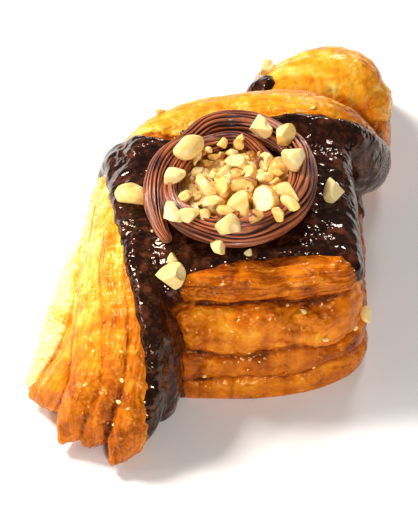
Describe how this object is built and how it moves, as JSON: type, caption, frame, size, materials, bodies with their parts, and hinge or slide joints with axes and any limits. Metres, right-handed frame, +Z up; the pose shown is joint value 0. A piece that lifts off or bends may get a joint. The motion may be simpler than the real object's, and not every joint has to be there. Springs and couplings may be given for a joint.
{
  "type": "chocolate hazelnut danish pastry",
  "caption": "Folded laminated danish with claw-like ends, chocolate spread, a piped chocolate ring and chopped hazelnuts on top.",
  "frame": {"origin": "middle of the bounding box on the flat base", "axes": "+Z up, +Y along the pastry's longest side, +X to the right when the claw-like front end is nearest"},
  "size_m": [0.0875, 0.1316, 0.0446],
  "materials": {
    "dough": "glazed golden brown flaky crust",
    "chocolate": "wet glossy dark chocolate",
    "piped_chocolate": "satin milk chocolate cream",
    "nuts": "chopped hazelnut"
  },
  "bodies": {
    "root": {"dough": "dough", "chocolate_spread": "chocolate", "chocolate_spread_back": "chocolate", "piped_ring": "piped_chocolate", "nut_heap": "nuts"}
  },
  "joints": []
}
